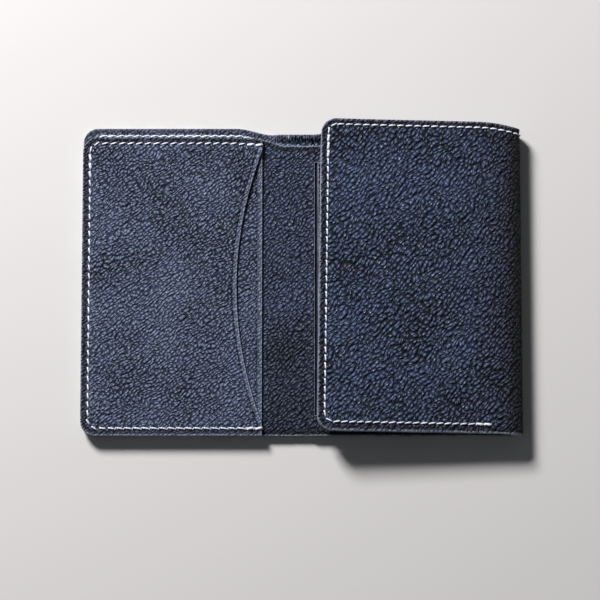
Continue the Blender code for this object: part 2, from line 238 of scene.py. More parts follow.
def top_inset(u):
    """From the cover's top edge to its seam; a little less on the flap."""
    return TOP_SEAM_INSET - 0.5 * smooth_step((u - MIDDLE_JOIN) / 40.0)


def stations(*runs):
    """Distances from the first mark to the last: each run is (mark, pitch up to the next mark)."""
    places = []
    for (start, pitch), (end, _) in zip(runs[:-1], runs[1:]):
        count = max(1, round((end - start) / pitch))
        places += [start + (end - start) * i / count for i in range(count)]
    return places + [runs[-1][0]]


def panel_pattern(start, end, top, round_start=False, round_end=False, mouth=None):
    """Returns a function from a column and a share of the height to a place on the flat strip."""
    def corner(near):
        if near >= CORNER_RADIUS:
            return 0.0
        return CORNER_RADIUS - math.sqrt(max(CORNER_RADIUS ** 2 - (CORNER_RADIUS - near) ** 2, 0.0))

    def place(u, share):
        inset = corner(u - start) if round_start else 0.0
        inset = max(inset, corner(end - u) if round_end else 0.0)
        low = -HALF_HEIGHT + inset
        high = top(u) - inset
        v = low + share * (high - low)
        if mouth:
            u -= mouth(v) * smooth_step((u - end + MOUTH_RUN) / MOUTH_RUN)
        return u, v
    return place


def seam_sink(u, v, top, insets, free_u, stop_u, depth):
    """How far a seam pulls the leather in, in mm: its margin slopes from the edge to the stitches.

    insets are those of the side, top and bottom rows; the bottom row ends at stop_u.
    """
    side, high, low = insets
    shares = [abs(u - free_u) / side, (top(u) - v) / high]
    if abs(u - free_u) < abs(stop_u - free_u):
        shares.append((v + HALF_HEIGHT) / low)
    nearest = min(shares)
    if nearest < 1.0:
        return depth * smooth_step(nearest) ** 0.8
    past = min((share - 1.0) * inset for share, inset in zip(shares, insets))
    return depth * math.exp(-(past / 1.0) ** 2)


def edge_distance(top, start=None, end=None, mouth=None):
    """Returns a function giving a place's distance to the nearest sewn edge and to the mouth."""
    def distance(u, v):
        sides = [top(u) - v, v + HALF_HEIGHT]
        if start is not None:
            sides.append(u - start)
        if end is not None:
            sides.append(end - u)
        for centre in ((start, 1.0), (end, -1.0)):
            if centre[0] is None:
                continue
            middle = centre[0] + centre[1] * CORNER_RADIUS
            across = (middle - u) * centre[1]
            up = max(v - top(u) + CORNER_RADIUS, -HALF_HEIGHT + CORNER_RADIUS - v)
            if across > 0.0 and up > 0.0:
                sides.append(CORNER_RADIUS - math.hypot(across, up))
        return min(sides), mouth(u, v) if mouth else 99.0
    return distance


def fold_shade_and_spine_dark(u, v, level):
    """How much darker the leather is painted: painted shade outside at the closed fold, where it turns away
    from the light, and darker low on the spine inside.
    """
    if level <= 0.0:
        return math.exp(-max(abs(u - RIGHT_SPINE) - 4.0, 0.0) / 9.0)
    spine = smooth_step((u - LEFT_CREASE + 1.0) / 3.0) * smooth_step((100.0 - u) / 16.0)
    return 0.5 * spine * smooth_step((-v - 8.0) / 20.0)


ROW_SHARES = [row / WALLET_HEIGHT for row in
              stations((0.0, 0.3), (5.4, 0.9), (95.0, 0.35), (WALLET_HEIGHT, 0.0))]


def cut_sheet(name, columns, pattern, low, high, finishes, edges, relief=None, joins=(), hole=None):
    """A piece of leather or cloth: cut flat, laid in place, given its thickness and worn edges.

    low and high are the levels of its two faces.  It keeps its place on the flat strip for the
    grain, and marks for the mouth's band, the wear along its edges, and the painted shade of the
    seam's margin, of the pressed line and of the closed fold, with a darker spine inside.
    """
    rows = ROW_SHARES
    bpy.ops.object.select_all(action="DESELECT")
    bpy.ops.mesh.primitive_grid_add(
        x_subdivisions=len(columns) - 1, y_subdivisions=len(rows) - 1, size=1.0)
    piece = bpy.context.object
    piece.name = name
    mesh = piece.data
    mesh.name = name
    flat = []
    marks = {"sewn_margin_shade": [], "mouth_band": [], "pressed_line_shade": [], "edge_wear": [], "fold_shade_and_spine_dark": []}
    for vertex in mesh.vertices:
        column = round((vertex.co.x + 0.5) * (len(columns) - 1))
        row = round((vertex.co.y + 0.5) * (len(rows) - 1))
        u, v = pattern(columns[column], rows[row])
        level = high + (relief(u, v) if relief else 0.0)
        vertex.co = lay(u, v, level)
        flat += (u, v, level)
        sewn, mouth = edges(u, v)
        marks["sewn_margin_shade"].append(smooth_step((2.6 - sewn) / 1.2))
        marks["mouth_band"].append(smooth_step((BAND_WIDTH - mouth) / 0.4))
        marks["pressed_line_shade"].append(math.exp(-((mouth - BAND_WIDTH) / 0.28) ** 2))
        marks["edge_wear"].append(smooth_step(1.0 - min(sewn, mouth) / 0.55))
        marks["fold_shade_and_spine_dark"].append(fold_shade_and_spine_dark(u, v, high))
    mesh.attributes.new("flat_place", "FLOAT_VECTOR", "POINT").data.foreach_set("vector", flat)
    for mark, values in marks.items():
        mesh.attributes.new(mark, "FLOAT", "POINT").data.foreach_set("value", values)

    if hole:
        bpy.ops.object.mode_set(mode="EDIT")
        shape = bmesh.from_edit_mesh(mesh)
        place = shape.verts.layers.float_vector["flat_place"]
        for face in shape.faces:
            middle = sum((corner[place] for corner in face.verts), Vector()) / len(face.verts)
            face.select_set(hole(middle.x, middle.y))
        bmesh.update_edit_mesh(mesh)
        bpy.ops.mesh.delete(type="FACE")
        bpy.ops.object.mode_set(mode="OBJECT")

    for finish in finishes:
        mesh.materials.append(finish)
    wall = piece.modifiers.new("thickness", "SOLIDIFY")
    wall.thickness = (high - low) / 1000.0
    wall.offset = -1.0
    wall.use_even_offset = True
    wall.use_quality_normals = True
    wall.material_offset_rim = 1
    bpy.ops.object.modifier_apply(modifier=wall.name)

    bpy.ops.object.mode_set(mode="EDIT")
    bpy.ops.mesh.select_mode(type="EDGE")
    bpy.ops.mesh.select_all(action="DESELECT")
    shape = bmesh.from_edit_mesh(mesh)
    place = shape.verts.layers.float_vector["flat_place"]
    for edge in shape.edges:
        on_join = any(all(abs(end[place].x - join) < 0.01 for end in edge.verts) for join in joins)
        if len(edge.link_faces) == 2 and edge.calc_face_angle() > 0.9 and not on_join:
            edge.select_set(True)
    bmesh.update_edit_mesh(mesh)
    bpy.ops.mesh.bevel(offset=EDGE_ROUNDING * (high - low), segments=2, clamp_overlap=True, material=1)
    bpy.ops.object.mode_set(mode="OBJECT")
    bpy.ops.object.shade_smooth_by_angle(angle=math.radians(40))
    return piece


def colour_mix(tree, share, first, second, blend="MIX"):
    """Mixes two colours, each a hex code or a link, and returns the result's socket."""
    made = node(tree, "ShaderNodeMix", {"Factor": share}, data_type="RGBA", blend_type=blend)
    for place, colour in ((6, first), (7, second)):
        if isinstance(colour, str):
            made.inputs[place].default_value = linear(colour)
        else:
            tree.links.new(colour, made.inputs[place])
    return made.outputs[2]


def pebbled_leather(name, light, dark, rim, pebble, depth, roughness, lean=43.0):
    """Full-grain cowhide: round pebbles parted by creases painted dark as shade, with a soft waxy shine.

    The grain is milled.  A pebble is 1.0 to 1.6 mm across, and pebbles run in slanting chains;
    lean is the slant in degrees on the flat strip, and depth is in mm.
    """
    finish, tree = new_material(name)

    def maths(operation, first, second=0.0, third=0.0, clamp=False):
        return node(tree, "ShaderNodeMath", {0: first, 1: second, 2: third},
                    operation=operation, use_clamp=clamp).outputs[0]

    def ramp(value, low, high, start, end, smooth="SMOOTHSTEP"):
        return node(tree, "ShaderNodeMapRange", {"Value": value, "From Min": low, "From Max": high,
                    "To Min": start, "To Max": end}, interpolation_type=smooth).outputs[0]

    def mark(attribute):
        return node(tree, "ShaderNodeAttribute", attribute_name=attribute).outputs["Fac"]

    def pushed(vector, scale, reach):
        drift = node(tree, "ShaderNodeTexNoise", {"Vector": vector, "Scale": scale, "Detail": 1.0})
        centred = node(tree, "ShaderNodeVectorMath", {0: drift.outputs["Color"], 1: (0.5, 0.5, 0.5)},
                       operation="SUBTRACT").outputs[0]
        return node(tree, "ShaderNodeVectorMath", {0: centred, 1: (reach, reach, 0.0), 2: vector},
                    operation="MULTIPLY_ADD").outputs[0]

    def cells(feature, along, across, randomness, **settings):
        turned = node(tree, "ShaderNodeMapping",
                      {"Vector": drawn, "Rotation": (0.0, 0.0, math.radians(lean)),
                       "Scale": (pebble * along, pebble * across, 1.0)}, vector_type="TEXTURE").outputs[0]
        return node(tree, "ShaderNodeTexVoronoi",
                    {"Vector": turned, "Scale": 1.0, "Randomness": randomness, **settings},
                    voronoi_dimensions="2D", feature=feature)

    flat = node(tree, "ShaderNodeAttribute", attribute_name="flat_place").outputs["Vector"]
    drawn = pushed(pushed(flat, 0.16, 3.0), 0.55, 0.45)
    pebbles = cells("SMOOTH_F1", 1.12, 0.9, 0.58, Smoothness=0.12)
    folds = cells("DISTANCE_TO_EDGE", 3.0, 1.25, 0.9).outputs["Distance"]
    tint = node(tree, "ShaderNodeSeparateColor", {"Color": pebbles.outputs["Color"]}).outputs[0]
    fine = node(tree, "ShaderNodeTexNoise", {"Vector": flat, "Scale": 1.9, "Detail": 4.0,
                "Roughness": 0.6}).outputs["Fac"]
    broad = node(tree, "ShaderNodeTexNoise", {"Vector": flat, "Scale": 0.05,
                 "Detail": 3.0}).outputs["Fac"]
    margin = mark("sewn_margin_shade")
    band = mark("mouth_band")
    fold_shade_spine_dark = mark("fold_shade_and_spine_dark")

    # A pebble is a dome, steep beside the crease and flat on top; longer creases part the chains.
    dome = ramp(pebbles.outputs["Distance"], 0.16, 0.60, 1.0, 0.0)
    ridge = maths("SUBTRACT", 1.0, maths("POWER", ramp(folds, 0.0, 0.24, 1.0, 0.0, "LINEAR"), 2.0))
    height = maths("MULTIPLY_ADD", ridge, 0.6, dome)
    height = maths("MULTIPLY_ADD", fine, 0.08, height)
    height = maths("MULTIPLY", height, maths("MULTIPLY_ADD", band, -0.6, 1.0))
    bump = node(tree, "ShaderNodeBump", {"Height": height, "Strength": 1.0,
                "Distance": depth / 1000.0}).outputs[0]

    # Painted shade: the creases between pebbles and between chains are painted darker in the base colour, as
    # the shade in the grain's hollows.
    crease = maths("MULTIPLY", ramp(dome, 0.05, 0.75, 0.15, 1.0), ramp(ridge, 0.0, 0.8, 0.0, 1.0))
    tone = maths("MULTIPLY_ADD", tint, 0.12, maths("MULTIPLY", crease, 0.80))
    tone = maths("MULTIPLY_ADD", maths("SUBTRACT", broad, 0.5), 0.8, tone)
    tone = maths("MULTIPLY_ADD", band, 0.20, tone)
    # Painted shade: the margin between a cut edge and its stitches is painted darker, as it slopes down into
    # the seam away from the light.
    tone = maths("MULTIPLY", tone, maths("MULTIPLY_ADD", margin, -0.72, 1.0))
    # Painted shade: the outside of the closed fold, which turns away from the light, is painted darker;
    # inside, the leather low on the spine is darker too.
    tone = maths("MULTIPLY", tone, maths("MULTIPLY_ADD", fold_shade_spine_dark, -0.95, 1.0))
    # Painted shade: the creased line beside a mouth is painted darker, as the shade in its groove.
    tone = maths("MULTIPLY", tone, maths("MULTIPLY_ADD", mark("pressed_line_shade"), -0.85, 1.0), 0.0, True)
    hide = colour_mix(tree, tone, dark, light)
    rubbed = maths("MULTIPLY", mark("edge_wear"), maths("MULTIPLY", fine, 1.5), 0.0, True)
    skin = colour_mix(tree, rubbed, hide, rim)
    matt = maths("MAXIMUM", maths("MULTIPLY", margin, 0.6), maths("MULTIPLY", fold_shade_spine_dark, 0.7))
    matt = maths("MAXIMUM", matt, ramp(crease, 0.1, 0.85, 1.0, 0.0), 0.0, True)
    dull = maths("MULTIPLY_ADD", matt, 1.0 - roughness, roughness)
    shader = node(tree, "ShaderNodeBsdfPrincipled", {
        "Base Color": skin, "Roughness": dull, "IOR": 1.5, "Specular IOR Level": 0.45,
        "Normal": bump})
    node(tree, "ShaderNodeOutputMaterial", {"Surface": shader.outputs[0]})
    return finish


def raw_edge(name, pale, deep):
    """The cut edge of dyed leather: matt, fibrous, paler than the grain side."""
    finish, tree = new_material(name)
    place = node(tree, "ShaderNodeTexCoord").outputs["Object"]
    fibres = node(tree, "ShaderNodeTexNoise", {"Vector": place, "Scale": 2600.0, "Detail": 3.0})
    patches = node(tree, "ShaderNodeTexNoise", {"Vector": place, "Scale": 260.0, "Detail": 2.0})
    both = node(tree, "ShaderNodeMath", {0: fibres.outputs["Fac"], 1: patches.outputs["Fac"]},
                operation="MULTIPLY")
    share = node(tree, "ShaderNodeMapRange", {"Value": both.outputs[0], "From Min": 0.12,
                 "From Max": 0.40})
    bump = node(tree, "ShaderNodeBump", {"Height": fibres.outputs["Fac"], "Distance": 0.00008})
    shader = node(tree, "ShaderNodeBsdfPrincipled", {
        "Base Color": colour_mix(tree, share.outputs[0], deep, pale), "Roughness": 0.85,
        "Normal": bump.outputs[0]})
    node(tree, "ShaderNodeOutputMaterial", {"Surface": shader.outputs[0]})
    return finish


cover_leather = pebbled_leather("navy_pebbled_cowhide", "#4c5b7a", "#020409", "#8d97a9",
                                1.42, 0.52, 0.34, -50.0)
cover_edge = raw_edge("cut_cowhide_edge", "#a9b1be", "#4d5566")
SPINE_CURL = 1.3


def fold_curl(u, v):
    """The cover's top edge curls up a little where the spine is pressed flat."""
    window = smooth_step((u - LEFT_CREASE - 1.0) / 4.0) * smooth_step((MIDDLE_CREASE + 7.0 - u) / 5.0)
    return SPINE_CURL * window * smooth_step((v - cover_top(u) + 3.2) / 2.2)


def cover_relief(u, v):
    """Grooves of the outer stitches, and the curl of the top edge at the spine."""
    if u < MIDDLE_JOIN:
        stop = STITCH_LEFT_END if u < LEFT_CREASE else 0.0
        insets = (SIDE_SEAM_INSET, top_inset(u), LEFT_BOTTOM_SEAM_INSET)
        groove = seam_sink(u, v, cover_top, insets, 0.0, stop, OUTER_GROOVE)
        if LEFT_CREASE < u < MIDDLE_CREASE + 3.0:
            groove = 0.0
        return groove + fold_curl(u, v)
    insets = (SIDE_SEAM_INSET, top_inset(u), BOTTOM_SEAM_INSET)
    return seam_sink(u, v, cover_top, insets, FLAP_END, FLAP_CREASE + FLAP_SEAM_STOP, FLAP_GROOVE)


def bends(piece, span):
    """Bakes a span's placement into its mesh; every span is treated the same."""
    if span == 0:
        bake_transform(piece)
    elif span == 1:
        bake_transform(piece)
    elif span == 2:
        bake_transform(piece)
    else:
        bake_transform(piece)


SPANS = (
    (0.0, LEFT_SPINE, stations((0.0, 0.2), (1.0, 0.35), (5.0, 1.0), (56.0, 0.6), (LEFT_SPINE, 0.0))),
    (LEFT_SPINE, MIDDLE_JOIN, stations((LEFT_SPINE, 0.6), (82.0, 1.5), (MIDDLE_JOIN, 0.0))),
    (MIDDLE_JOIN, RIGHT_SPINE, stations((MIDDLE_JOIN, 1.5), (136.0, 0.4), (RIGHT_SPINE, 0.0))),
    (RIGHT_SPINE, FLAP_END, stations((RIGHT_SPINE, 0.4), (164.0, 0.9), (215.0, 0.35), (219.4, 0.2),
                                     (FLAP_END, 0.0))),
)


def span_layer(names, nodes, columns, top, low, high, finishes, relief, hole=None):
    """A layer that runs through both folds, as four spans that replace its CAD nodes."""
    for span, (start, end, _) in enumerate(SPANS):
        joins = [place for place in (LEFT_SPINE, MIDDLE_JOIN, RIGHT_SPINE) if place in (start, end)]
        pattern = panel_pattern(start, end, top, span == 0, span == 3)
        edges = edge_distance(top, 0.0 if span == 0 else None, FLAP_END if span == 3 else None)
        piece = cut_sheet(names[span], columns[span], pattern, low, high, finishes, edges, relief,
                          joins, hole if span == 1 else None)
        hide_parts(*nodes[span])
        bends(piece, span)


span_layer(("cover_over_left", "cover_over_spine", "cover_over_middle", "cover_over_flap"),
           (("cover_left",), ("cover_left_fold",), ("cover_middle",), ("cover_right_fold", "cover_flap")),
           [columns for _, _, columns in SPANS], cover_top, -COVER_THICKNESS, 0.0,
           (cover_leather, cover_edge), cover_relief)


# ---------------------------------------------------------------- bill lining
# A thin split-leather lining glued to the cover's inner face.  It shows as a strip along the
# top edge, above the inner layers, and inside the bill compartment.
LINING_LOW = 0.05
LINING_HIGH = 0.6
PUCKER = 0.22
lining_leather = pebbled_leather("fine_grained_lining_leather", "#98a4be", "#0c1120", "#7f899c",
                                 1.15, 0.26, 0.45)


def lining_relief(u, v):
    """The strip sinks under its own row of stitches, follows the cover's curl, and has small
    puckers across it at the spine."""
    curl = fold_curl(u, v)
    window = smooth_step((u - LEFT_CREASE) / 3.0) * smooth_step((MIDDLE_CREASE + 4.0 - u) / 3.0)
    pucker = PUCKER * window * math.sin(u * 7.4 + 1.5 * math.sin(u * 1.9))
    pucker *= smooth_step((v - cover_top(u) + 3.0) / 1.0)
    sink = 0.0
    if u < LEFT_CREASE or u > MIDDLE_CREASE + 3.0:
        sink = 0.12 * math.exp(-((cover_top(u) - top_inset(u) - v) / 0.8) ** 2)
    return curl + pucker - sink


lining_columns = [columns for _, _, columns in SPANS]
lining_columns[0] = stations((0.0, 0.2), (1.0, 0.35), (5.0, 1.0), (56.0, 0.6), (61.0, 0.25),
                             (LEFT_SPINE, 0.0))
lining_columns[1] = stations((LEFT_SPINE, 0.25), (82.0, 1.5), (MIDDLE_JOIN, 0.0))
span_layer(("lining_left", "lining_spine", "lining_middle", "lining_flap"),
           (("bill_lining_left",), ("bill_lining_left_fold",), ("bill_lining_middle",),
            ("bill_lining_right_fold", "bill_lining_flap")),
           lining_columns, cover_top, LINING_LOW, LINING_HIGH,
           (lining_leather, cover_edge), lining_relief)


# ---------------------------------------------------------------- inner panel
# The front wall of the bill compartment, of the same hide as the cover but split thinner.  It
# runs through both folds.  Beside the left crease a slit is cut in it for the slip pocket.
INNER_DROP = 3.5                 # from the cover's top edge to that of the inner layers
POCKET_SEAM_INSET = 2.1
PANEL_LOW = 0.65
PANEL_HIGH = 1.5
SLIP_RISE = 0.6                  # the middle of the panel lies over the slip pocket's bag
SLIT_MIDDLE = MIDDLE_CREASE + 1.6
SLIT_HALF_WIDTH = 0.5
SLIT_LOW = -HALF_HEIGHT + 6.5
SLIT_HIGH = HALF_HEIGHT - 12.0
panel_leather = pebbled_leather("navy_pebbled_inner_cowhide", "#4e5a75", "#03050c", "#949dac",
                                1.24, 0.44, 0.38)
panel_edge = raw_edge("cut_inner_cowhide_edge", "#a4acb9", "#4d5566")


def pocket_top(u):
    """Height of the pockets' top edge, which hardly dips."""
    return HALF_HEIGHT - INNER_DROP - 0.6 * near_fold(u, LEFT_CREASE, MIDDLE_CREASE) \
        - RIGHT_SCOOP * near_fold(u, RIGHT_CREASE, FLAP_CREASE)


def panel_top(u):
    """Height of the inner panel's top edge, which sags between the pockets and the flap."""
    sag = smooth_step((u - LEFT_CREASE + 1.4) / 8.0) * smooth_step((98.0 - u) / 16.0)
    return pocket_top(u) - 2.1 * sag


def panel_relief(u, v):
    """The panel rises over the bag and bows up at the spine; on the flap a seam pulls it in."""
    rise = SLIP_RISE * smooth_step((u - MIDDLE_CREASE + 1.0) / 1.6)
    rise *= smooth_step((RIGHT_CREASE - 9.0 - u) / 4.0)
    spine = smooth_step((u - LEFT_CREASE) / 5.0) * smooth_step((MIDDLE_CREASE - u + 1.0) / 5.0)
    rise += 0.5 * spine * smooth_step((v - panel_top(u) + 14.0) / 14.0)
    if u > FLAP_CREASE + 4.0:
        insets = (SIDE_SEAM_INSET, POCKET_SEAM_INSET, BOTTOM_SEAM_INSET)
        rise -= seam_sink(u, v, pocket_top, insets, FLAP_END, FLAP_CREASE + 15.0, 0.1)
    return rise


panel_columns = [SPANS[0][2], stations((LEFT_SPINE, 0.7), (SLIT_MIDDLE - SLIT_HALF_WIDTH, 1.0),
                 (SLIT_MIDDLE + SLIT_HALF_WIDTH, 0.7), (84.0, 1.4), (MIDDLE_JOIN, 0.0)),
                 SPANS[2][2], SPANS[3][2]]


def in_slit(u, v):
    """Whether a place is in the slit."""
    return abs(u - SLIT_MIDDLE) < SLIT_HALF_WIDTH and SLIT_LOW < v < SLIT_HIGH


span_layer(("inner_panel_over_left", "inner_panel_over_spine", "inner_panel_over_middle",
            "inner_panel_over_flap"),
           (("inner_panel_left",), ("inner_panel_left_fold",), ("inner_panel_middle",),
            ("inner_panel_right_fold", "inner_panel_flap")),
           panel_columns, panel_top, PANEL_LOW, PANEL_HIGH, (panel_leather, panel_edge),
           panel_relief, in_slit)


# ---------------------------------------------------------------- slip pocket bag
# A thin woven cloth bag behind the slit, glued to the back of the inner panel.
bag_cloth, tree = new_material("black_navy_pocket_cloth")
place = node(tree, "ShaderNodeTexCoord").outputs["Object"]
weave = node(tree, "ShaderNodeTexWave", {"Vector": place, "Scale": 700.0, "Distortion": 1.0})
bump = node(tree, "ShaderNodeBump", {"Height": weave.outputs["Fac"], "Distance": 0.00005})
shader = node(tree, "ShaderNodeBsdfPrincipled", {
    "Base Color": colour_mix(tree, weave.outputs["Fac"], "#0b0f19", "#1a2130"), "Roughness": 0.9,
    "Normal": bump.outputs[0]})
node(tree, "ShaderNodeOutputMaterial", {"Surface": shader.outputs[0]})
BAG_START = MIDDLE_CREASE + 0.9
BAG_END = 137.0
BAG_LOW = 0.9
BAG_HIGH = 1.2
BAG_MARGIN = 1.5                 # how far the bag runs past each end of the slit


def bag_pattern(u, share):
    """A plain oblong, a little taller than the slit."""
    return u, SLIT_LOW - BAG_MARGIN + share * (SLIT_HIGH - SLIT_LOW + 2 * BAG_MARGIN)


bag = cut_sheet("slip_bag", stations((BAG_START, 2.0), (BAG_END, 0.0)), bag_pattern, BAG_LOW, BAG_HIGH,
                (bag_cloth, bag_cloth), edge_distance(cover_top))
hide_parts("slip_pocket_bag")
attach(bag, "middle")


# ---------------------------------------------------------------- left card pockets
# Two card pockets of pebbled leather, one over the other, both open towards the fold.  The
# front one has a shallow curved mouth, and a creased line runs beside each mouth.
POCKET_EDGE = LEFT_CREASE - 1.2
BACK_LOW = 1.55
BACK_HIGH = 2.4
FRONT_LOW = 2.45
FRONT_HIGH = 3.3
NOTCH_DEPTH = 8.6
NOTCH_LOW = -HALF_HEIGHT + 4.0
POCKET_SINK = 0.42
pocket_leather = pebbled_leather("navy_pebbled_pocket_cowhide", "#68748f", "#050812", "#949dac",
                                 1.16, 0.38, 0.38, 38.0)


def notch(v):
    """How far the front pocket's mouth is cut back at a height."""
    high = pocket_top(POCKET_EDGE) - 4.0
    place = (2.0 * v - NOTCH_LOW - high) / (high - NOTCH_LOW)
    return NOTCH_DEPTH * max(1.0 - place * place, 0.0)


def straight_mouth(u, v):
    """Distance to the back pocket's mouth."""
    return POCKET_EDGE - u


def curved_mouth(u, v):
    """Distance to the front pocket's mouth."""
    return POCKET_EDGE - notch(v) - u


def pocket_relief(mouth, seed):
    """Sunk seam, creased line beside the mouth, and the wave of leather that has held cards."""
    insets = (SIDE_SEAM_INSET, POCKET_SEAM_INSET, LEFT_BOTTOM_SEAM_INSET)

    def relief(u, v):
        near = mouth(u, v)
        groove = seam_sink(u, v, pocket_top, insets, 0.0, 90.0, POCKET_SINK)
        line = 0.22 * math.exp(-((near - BAND_WIDTH) / 0.3) ** 2)
        band = 0.10 * smooth_step(near / 0.7) * smooth_step((BAND_WIDTH - near) / 0.4)
        wave = 0.16 * noise.noise(Vector((u / 17.0, v / 26.0, seed)))
        wave *= smooth_step(near / 10.0) * smooth_step(u / 9.0) * smooth_step((HALF_HEIGHT - abs(v)) / 9.0)
        return wave + band - groove - line
    return relief


pocket_columns = stations((0.0, 0.2), (1.0, 0.35), (5.0, 1.0), (56.0, 0.3), (POCKET_EDGE, 0.0))
for name, low, high, cut, mouth, nodes in (
        ("back_card_pocket", BACK_LOW, BACK_HIGH, None, straight_mouth, "card_pocket_back"),
        ("front_card_pocket", FRONT_LOW, FRONT_HIGH, notch, curved_mouth, "card_pocket_front")):
    pattern = panel_pattern(0.0, POCKET_EDGE, pocket_top, True, False, cut)
    piece = cut_sheet(name, pocket_columns, pattern, low, high, (pocket_leather, panel_edge),
                      edge_distance(pocket_top, 0.0, None, mouth), pocket_relief(mouth, high))
    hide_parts(nodes)
    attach(piece, "left_panel")


# ---------------------------------------------------------------- flap card pocket
# A single card pocket on the inside of the flap, open towards the fold.
FLAP_POCKET_START = FLAP_CREASE + 14.0


def flap_mouth(u, v):
    """Distance to the mouth of the flap's pocket."""
    return u - FLAP_POCKET_START


def flap_pocket_relief(u, v):
    """Sunk seam, and the creased line beside the mouth."""
    insets = (SIDE_SEAM_INSET, POCKET_SEAM_INSET, BOTTOM_SEAM_INSET)
    near = flap_mouth(u, v)
    groove = seam_sink(u, v, pocket_top, insets, FLAP_END, FLAP_CREASE, 0.3)
    return -groove - 0.2 * math.exp(-((near - BAND_WIDTH) / 0.3) ** 2)


columns = stations((FLAP_POCKET_START, 0.3), (FLAP_POCKET_START + 3.0, 1.0), (215.0, 0.35),
                   (219.4, 0.2), (FLAP_END, 0.0))
pattern = panel_pattern(FLAP_POCKET_START, FLAP_END, pocket_top, False, True)
piece = cut_sheet("flap_card_pocket", columns, pattern, BACK_LOW, BACK_HIGH,
                  (pocket_leather, panel_edge), edge_distance(pocket_top, None, FLAP_END, flap_mouth),
                  flap_pocket_relief)
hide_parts("card_pocket_flap")
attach(piece, "flap")


# ---------------------------------------------------------------- stitching
# Waxed two-ply polyester thread, 0.6 mm thick, in a slanting lockstitch of 2.9 mm.  One stitch
# is modelled and copied along each seam; its ends dip into their holes.
STITCH_PITCH = 2.9
STITCH_HALF = 1.14
THREAD_RADIUS = 0.31
STITCH_STEPS = 8
STITCH_CREST = 0.20              # the thread's middle above the leather, and its ends below
STITCH_END = -0.34
THREAD_FLATTENED = 0.78
FLAP_PITCH = 2.65                # the flap's outer row is sewn a little closer
TOP_ROW_START = 5.1              # from the free edge to where a top row begins
SEAM_CORNER = 3.0
BOTTOM_ROW_ZONE = 3.5            # height, from the bottom edge, that holds the bottom row
FLAP_OUTSIDE_SUNK = -COVER_THICKNESS + 0.16
thread_finish, tree = new_material("waxed_white_polyester_thread")
place = node(tree, "ShaderNodeTexCoord").outputs["Object"]
fuzz = node(tree, "ShaderNodeTexNoise", {"Vector": place, "Scale": 2500.0, "Detail": 2.0})
soil = node(tree, "ShaderNodeTexNoise", {"Vector": place, "Scale": 180.0, "Detail": 2.0})
mixed = node(tree, "ShaderNodeMath", {0: fuzz.outputs["Fac"], 1: soil.outputs["Fac"]},
             operation="MULTIPLY")
share = node(tree, "ShaderNodeMapRange", {"Value": mixed.outputs[0], "From Min": 0.1,
             "From Max": 0.36})
bump = node(tree, "ShaderNodeBump", {"Height": fuzz.outputs["Fac"], "Distance": 0.00006})
shader = node(tree, "ShaderNodeBsdfPrincipled", {
    "Base Color": colour_mix(tree, share.outputs[0], "#c3cadb", "#f8faff"), "Roughness": 0.6,
    "Sheen Weight": 0.2, "Normal": bump.outputs[0]})
node(tree, "ShaderNodeOutputMaterial", {"Surface": shader.outputs[0]})

bpy.ops.object.select_all(action="DESELECT")
bpy.ops.mesh.primitive_circle_add(vertices=8, radius=THREAD_RADIUS, fill_type="NGON",
                                  location=(-STITCH_HALF, 0.0, STITCH_END), rotation=(0.0, math.pi / 2, 0.0))
stitch = bpy.context.object
stitch.name = "one_stitch"
bpy.ops.object.transform_apply(location=True, rotation=True, scale=True)
bpy.ops.object.mode_set(mode="EDIT")
bpy.ops.mesh.select_mode(type="FACE")
bpy.ops.mesh.select_all(action="SELECT")
bpy.ops.transform.resize(value=(1.0, 1.0, THREAD_FLATTENED),
                         center_override=(-STITCH_HALF, 0.0, STITCH_END))


def stitch_height(along):
    """The thread's arch, from hole to hole."""
    return STITCH_CREST - 0.54 * abs(along / STITCH_HALF) ** 3


def stitch_sway(along):
    """The thread's small sideways bow."""
    return 0.07 * math.sin(math.pi * along / STITCH_HALF)


for step in range(STITCH_STEPS):
    before = STITCH_HALF * (2.0 * step / STITCH_STEPS - 1.0)
    after = STITCH_HALF * (2.0 * (step + 1) / STITCH_STEPS - 1.0)
    move = (after - before, stitch_sway(after) - stitch_sway(before),
            stitch_height(after) - stitch_height(before))
    bpy.ops.mesh.extrude_region_move(TRANSFORM_OT_translate={"value": move})
    bpy.ops.transform.rotate(value=math.radians(40), orient_axis="X", orient_type="GLOBAL",
                             center_override=(after, stitch_sway(after), stitch_height(after)))
bpy.ops.mesh.select_all(action="SELECT")
bpy.ops.mesh.normals_make_consistent(inside=False)
bpy.ops.object.mode_set(mode="OBJECT")

# An extrusion numbers its corners and faces differently from run to run.  They are numbered
# again by their place, so that every run gives the same mesh.
corners = sorted(tuple(vertex.co) for vertex in stitch.data.vertices)
number = {corner: count for count, corner in enumerate(corners)}
faces = []
for face in stitch.data.polygons:
    loop = [number[tuple(stitch.data.vertices[corner].co)] for corner in face.vertices]
    first = min(range(0, len(loop), 2), key=loop.__getitem__)
    faces.append(loop[first:] + loop[:first])
stitch.data.clear_geometry()
stitch.data.from_pydata(corners, [], sorted(faces))
bpy.ops.object.shade_smooth_by_angle(angle=math.radians(60))
stitch.data.materials.append(thread_finish)


def pace(path, pitch):
    """Evenly spaced middles along a path, each with the path's direction there."""
    runs = [math.dist(a, b) for a, b in zip(path[:-1], path[1:])]
    total = sum(runs)
    count = max(1, round(total / pitch))
    places = []
    for i in range(count):
        left = total * (i + 0.5) / count
        for (a, b), run in zip(zip(path[:-1], path[1:]), runs):
            if left <= run:
                break
            left -= run
        share = left / run if run else 0.0
        places.append((a[0] + (b[0] - a[0]) * share, a[1] + (b[1] - a[1]) * share,
                       math.atan2(b[1] - a[1], b[0] - a[0])))
    return places


